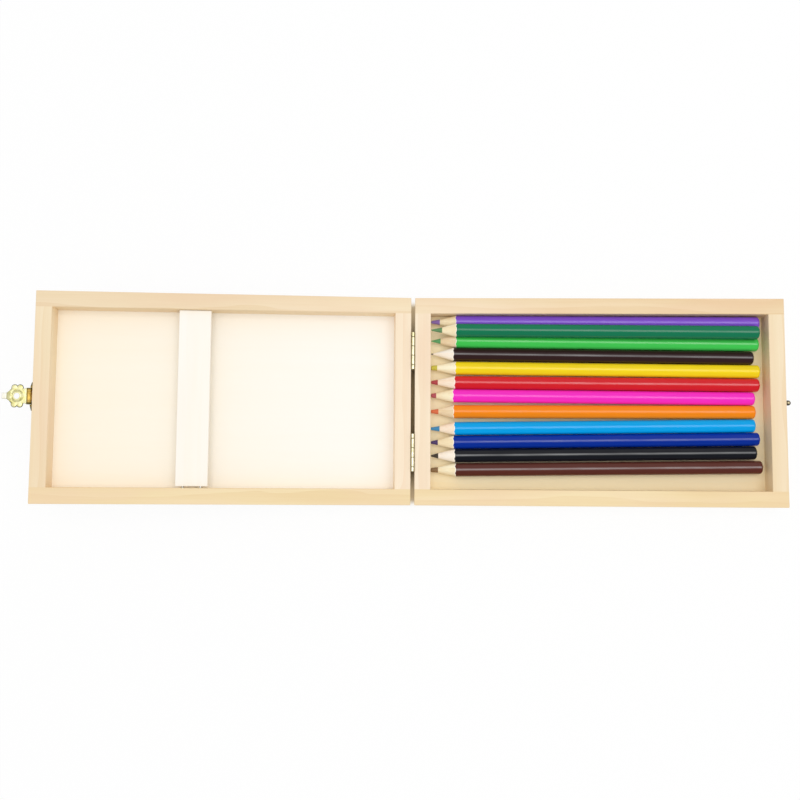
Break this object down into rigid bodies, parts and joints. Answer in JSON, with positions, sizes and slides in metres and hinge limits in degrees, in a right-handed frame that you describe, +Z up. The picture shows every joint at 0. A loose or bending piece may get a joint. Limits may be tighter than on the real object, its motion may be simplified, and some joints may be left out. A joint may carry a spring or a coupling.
{
  "type": "pencil box",
  "caption": "Flat wooden pencil box lying open on butt hinges: the base tray holds a row of hexagonal coloured pencils, the lid has a cross slat, and a brass flap hasp latches over a stud.",
  "frame": {"origin": "middle of the base's underside, on the surface that it lies on", "axes": "+X along the open box from the lid to the base's latch end, +Y across it towards the violet pencil, +Z up"},
  "size_m": [0.4101, 0.11, 0.0345],
  "materials": {
    "rail_wood": "sanded pale wood with a clear finish",
    "panel_wood": "smooth pale plywood",
    "brass": "bright rolled brass",
    "steel": "drawn steel wire",
    "dark_bronze": "dark lacquered metal",
    "paint_violet": "glossy dipped paint over bare wood",
    "lead_violet": "waxy coloured lead",
    "paint_dark_green": "glossy dipped paint over bare wood",
    "lead_dark_green": "waxy coloured lead",
    "paint_light_green": "glossy dipped paint over bare wood",
    "lead_light_green": "waxy coloured lead",
    "paint_aubergine": "glossy dipped paint over bare wood",
    "lead_aubergine": "waxy coloured lead",
    "paint_yellow": "glossy dipped paint over bare wood",
    "lead_yellow": "waxy coloured lead",
    "paint_red": "glossy dipped paint over bare wood",
    "lead_red": "waxy coloured lead",
    "paint_pink": "glossy dipped paint over bare wood",
    "lead_pink": "waxy coloured lead",
    "paint_orange": "glossy dipped paint over bare wood",
    "lead_orange": "waxy coloured lead",
    "paint_light_blue": "glossy dipped paint over bare wood",
    "lead_light_blue": "waxy coloured lead",
    "paint_dark_blue": "glossy dipped paint over bare wood",
    "lead_dark_blue": "waxy coloured lead",
    "paint_black": "glossy dipped paint over bare wood",
    "lead_black": "waxy coloured lead",
    "paint_brown": "glossy dipped paint over bare wood",
    "lead_brown": "waxy coloured lead"
  },
  "bodies": {
    "base": {"base_hinge_leaf_far": "brass", "base_hinge_leaf_near": "brass", "base_hinge_nails": "brass", "base_panel": "panel_wood", "base_rail_far": "rail_wood", "base_rail_hinge_side": "rail_wood", "base_rail_latch_side": "rail_wood", "base_rail_near": "rail_wood", "hinge_pin_far": "steel", "hinge_pin_near": "steel", "latch_stud": "dark_bronze"},
    "lid": {"hasp_nails": "brass", "hasp_pin": "steel", "hasp_plate": "brass", "lid_hinge_leaf_far": "brass", "lid_hinge_leaf_near": "brass", "lid_hinge_nails": "brass", "lid_panel": "panel_wood", "lid_rail_far": "rail_wood", "lid_rail_hinge_side": "rail_wood", "lid_rail_latch_side": "rail_wood", "lid_rail_near": "rail_wood", "lid_slat": "panel_wood", "slat_brads": "steel"},
    "hasp_flap": {"hasp_flap": "brass"},
    "pencil_violet": {"pencil_violet_barrel": "paint_violet", "pencil_violet_lead": "lead_violet"},
    "pencil_dark_green": {"pencil_dark_green_barrel": "paint_dark_green", "pencil_dark_green_lead": "lead_dark_green"},
    "pencil_light_green": {"pencil_light_green_barrel": "paint_light_green", "pencil_light_green_lead": "lead_light_green"},
    "pencil_aubergine": {"pencil_aubergine_barrel": "paint_aubergine", "pencil_aubergine_lead": "lead_aubergine"},
    "pencil_yellow": {"pencil_yellow_barrel": "paint_yellow", "pencil_yellow_lead": "lead_yellow"},
    "pencil_red": {"pencil_red_barrel": "paint_red", "pencil_red_lead": "lead_red"},
    "pencil_pink": {"pencil_pink_barrel": "paint_pink", "pencil_pink_lead": "lead_pink"},
    "pencil_orange": {"pencil_orange_barrel": "paint_orange", "pencil_orange_lead": "lead_orange"},
    "pencil_light_blue": {"pencil_light_blue_barrel": "paint_light_blue", "pencil_light_blue_lead": "lead_light_blue"},
    "pencil_dark_blue": {"pencil_dark_blue_barrel": "paint_dark_blue", "pencil_dark_blue_lead": "lead_dark_blue"},
    "pencil_black": {"pencil_black_barrel": "paint_black", "pencil_black_lead": "lead_black"},
    "pencil_brown": {"pencil_brown_barrel": "paint_brown", "pencil_brown_lead": "lead_brown"}
  },
  "joints": [
    {"name": "lid_hinge", "type": "hinge", "parent": "base", "child": "lid", "pos_m": [-0.0985, 0, 0.0146], "axis": [0, -1, 0], "range_deg": [-174.6, 0]},
    {"name": "hasp_turn", "type": "hinge", "parent": "lid", "child": "hasp_flap", "pos_m": [-0.2955, 0, 0.03192], "axis": [0, -1, 0], "range_deg": [-90, 88]},
    {"name": "violet_lift", "type": "slide", "parent": "base", "child": "pencil_violet", "axis": [0, 0, 1], "range_m": [0, 0.04]},
    {"name": "dark_green_lift", "type": "slide", "parent": "base", "child": "pencil_dark_green", "axis": [0, 0, 1], "range_m": [0, 0.08]},
    {"name": "light_green_lift", "type": "slide", "parent": "base", "child": "pencil_light_green", "axis": [0, 0, 1], "range_m": [0, 0.04]},
    {"name": "aubergine_lift", "type": "slide", "parent": "base", "child": "pencil_aubergine", "axis": [0, 0, 1], "range_m": [0, 0.04]},
    {"name": "yellow_lift", "type": "slide", "parent": "base", "child": "pencil_yellow", "axis": [0, 0, 1], "range_m": [0, 0.04]},
    {"name": "red_lift", "type": "slide", "parent": "base", "child": "pencil_red", "axis": [0, 0, 1], "range_m": [0, 0.04]},
    {"name": "pink_lift", "type": "slide", "parent": "base", "child": "pencil_pink", "axis": [0, 0, 1], "range_m": [0, 0.04]},
    {"name": "orange_lift", "type": "slide", "parent": "base", "child": "pencil_orange", "axis": [0, 0, 1], "range_m": [0, 0.04]},
    {"name": "light_blue_lift", "type": "slide", "parent": "base", "child": "pencil_light_blue", "axis": [0, 0, 1], "range_m": [0, 0.04]},
    {"name": "dark_blue_lift", "type": "slide", "parent": "base", "child": "pencil_dark_blue", "axis": [0, 0, 1], "range_m": [0, 0.04]},
    {"name": "black_lift", "type": "slide", "parent": "base", "child": "pencil_black", "axis": [0, 0, 1], "range_m": [0, 0.04]},
    {"name": "brown_lift", "type": "slide", "parent": "base", "child": "pencil_brown", "axis": [0, 0, 1], "range_m": [0, 0.04]}
  ],
  "couplings": [
    {"joint": "violet_lift", "follows": "dark_green_lift", "ratio": 0.5},
    {"joint": "light_green_lift", "follows": "dark_green_lift", "ratio": 0.5}
  ]
}
